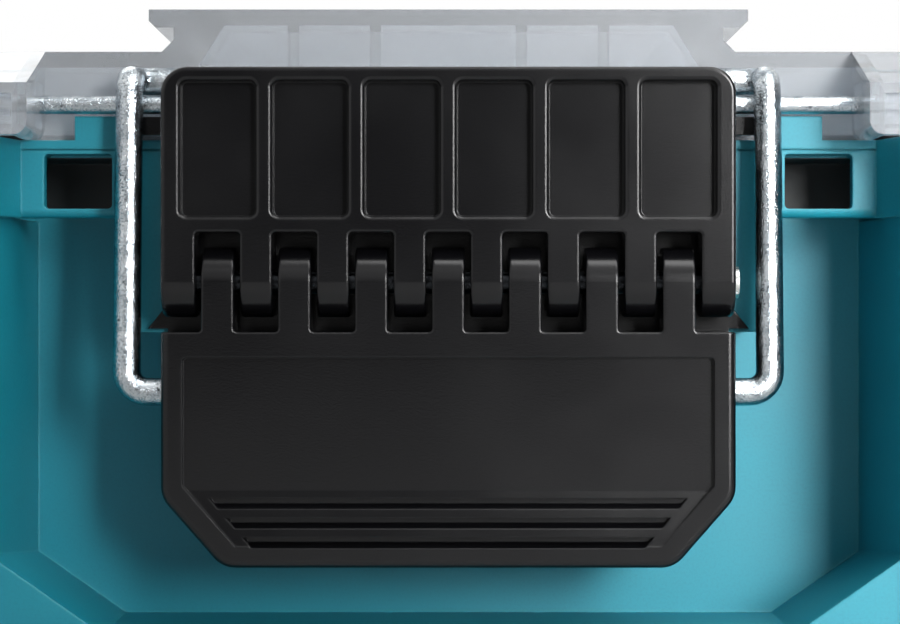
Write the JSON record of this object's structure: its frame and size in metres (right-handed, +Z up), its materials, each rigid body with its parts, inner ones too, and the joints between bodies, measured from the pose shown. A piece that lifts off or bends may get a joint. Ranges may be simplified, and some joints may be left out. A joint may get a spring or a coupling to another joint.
{
  "type": "compartment storage box",
  "caption": "Flat moulded organizer box with a hinged clear lid, draw latches with wire bails, stacking rails, a folding handle and lift-out bins for small parts.",
  "frame": {"origin": "middle of the bounding box at the base the box stands on", "axes": "+X along the box's width, +Y from the latches to the lid hinges, +Z up"},
  "size_m": [0.56, 0.38, 0.1205],
  "materials": {
    "teal_plastic": "fine moulded",
    "clear_plastic": "clear",
    "black_plastic": "satin",
    "zinc_steel": "zinc plated",
    "seal_rubber": "matt",
    "bin_plastic": "moulded"
  },
  "bodies": {
    "tub": {"tub": "teal_plastic", "latch_screws": "zinc_steel", "latch_base_left": "black_plastic", "latch_pin_left": "zinc_steel", "lid_hinge_pin_left": "zinc_steel", "handle_pin_left": "zinc_steel", "bin_divider_left": "bin_plastic", "latch_base_right": "black_plastic", "latch_pin_right": "zinc_steel", "lid_hinge_pin_right": "zinc_steel", "handle_pin_right": "zinc_steel", "bin_divider_right": "bin_plastic", "bin_front_1": "bin_plastic", "bin_front_2": "bin_plastic", "bin_front_3": "bin_plastic", "bin_front_4": "bin_plastic", "bin_front_5": "bin_plastic", "bin_rear_left": "bin_plastic", "bin_rear_middle": "bin_plastic", "bin_rear_right": "bin_plastic"},
    "lid": {"lid": "clear_plastic", "lid_gasket": "seal_rubber", "keeper_rod_left": "zinc_steel", "keeper_rod_right": "zinc_steel"},
    "handle": {"carry_handle": "black_plastic"},
    "lever_left": {"latch_lever_left": "black_plastic"},
    "bail_left": {"latch_bail_left": "zinc_steel"},
    "lever_right": {"latch_lever_right": "black_plastic"},
    "bail_right": {"latch_bail_right": "zinc_steel"}
  },
  "joints": [
    {"name": "lid_hinge", "type": "hinge", "parent": "tub", "child": "lid", "pos_m": [0, 0.185, 0.097], "axis": [-1, 0, 0], "range_deg": [0, 95]},
    {"name": "handle_fold", "type": "hinge", "parent": "tub", "child": "handle", "pos_m": [0, -0.179, 0.072], "axis": [-1, 0, 0], "range_deg": [0, 95]},
    {"name": "latch_left_lever", "type": "hinge", "parent": "tub", "child": "lever_left", "pos_m": [-0.155, -0.182, 0.072], "axis": [-1, 0, 0], "range_deg": [0, 100]},
    {"name": "latch_left_bail", "type": "hinge", "parent": "lever_left", "child": "bail_left", "pos_m": [-0.155, -0.1832, 0.0532], "axis": [-1, 0, 0], "range_deg": [-92, 0]},
    {"name": "latch_right_lever", "type": "hinge", "parent": "tub", "child": "lever_right", "pos_m": [0.155, -0.182, 0.072], "axis": [-1, 0, 0], "range_deg": [0, 100]},
    {"name": "latch_right_bail", "type": "hinge", "parent": "lever_right", "child": "bail_right", "pos_m": [0.155, -0.1832, 0.0532], "axis": [-1, 0, 0], "range_deg": [-92, 0]}
  ],
  "couplings": [
    {"joint": "latch_left_bail", "follows": "latch_left_lever", "ratio": -0.9},
    {"joint": "latch_right_bail", "follows": "latch_right_lever", "ratio": -0.9}
  ]
}
